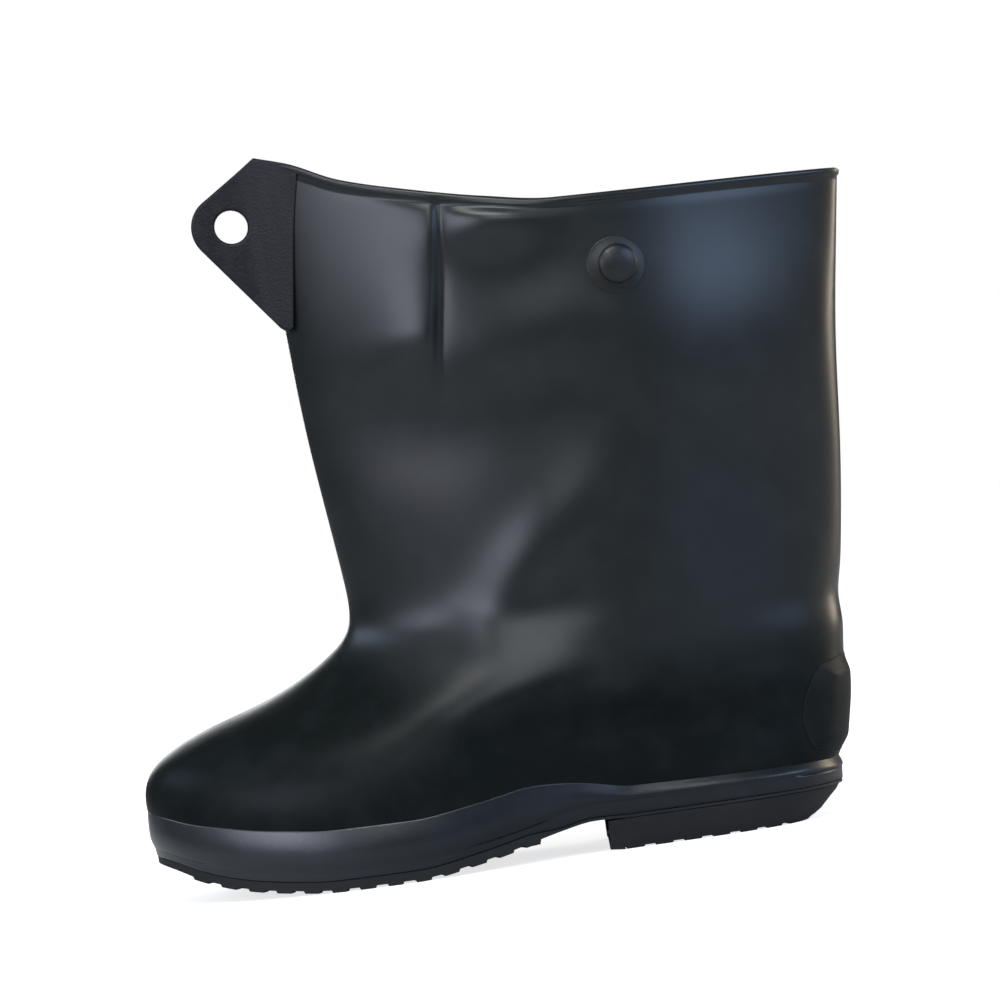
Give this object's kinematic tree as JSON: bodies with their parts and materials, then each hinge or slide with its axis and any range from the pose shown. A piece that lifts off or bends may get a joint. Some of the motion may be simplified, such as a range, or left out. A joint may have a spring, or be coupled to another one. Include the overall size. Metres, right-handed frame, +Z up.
{
  "type": "rubber overshoe",
  "caption": "Tall left rubber overshoe with a wide slack shaft, strap tab and button, cleated sole and low heel, open at its collar.",
  "frame": {"origin": "on the floor, in the middle of the heel's tread", "axes": "+Z up along the shaft, -X towards the toe, -Y towards the outer side of the left foot"},
  "size_m": [0.3321, 0.1184, 0.309],
  "materials": {
    "upper_rubber": "satin black natural rubber, smooth",
    "foxing_rubber": "satin black rubber strip, a little glossier than the upper",
    "sole_rubber": "matte black moulded rubber",
    "patch_rubber": "dull black rubber with a faint grain",
    "button_rubber": "satin black moulded rubber",
    "insole_rubber": "matte dark grey lining"
  },
  "bodies": {
    "root": {"upper": "upper_rubber", "foxing": "foxing_rubber", "outsole": "sole_rubber", "heel": "sole_rubber", "insole": "insole_rubber", "counter": "patch_rubber", "strap_tab": "patch_rubber", "button_base": "button_rubber", "button": "button_rubber"}
  },
  "joints": []
}
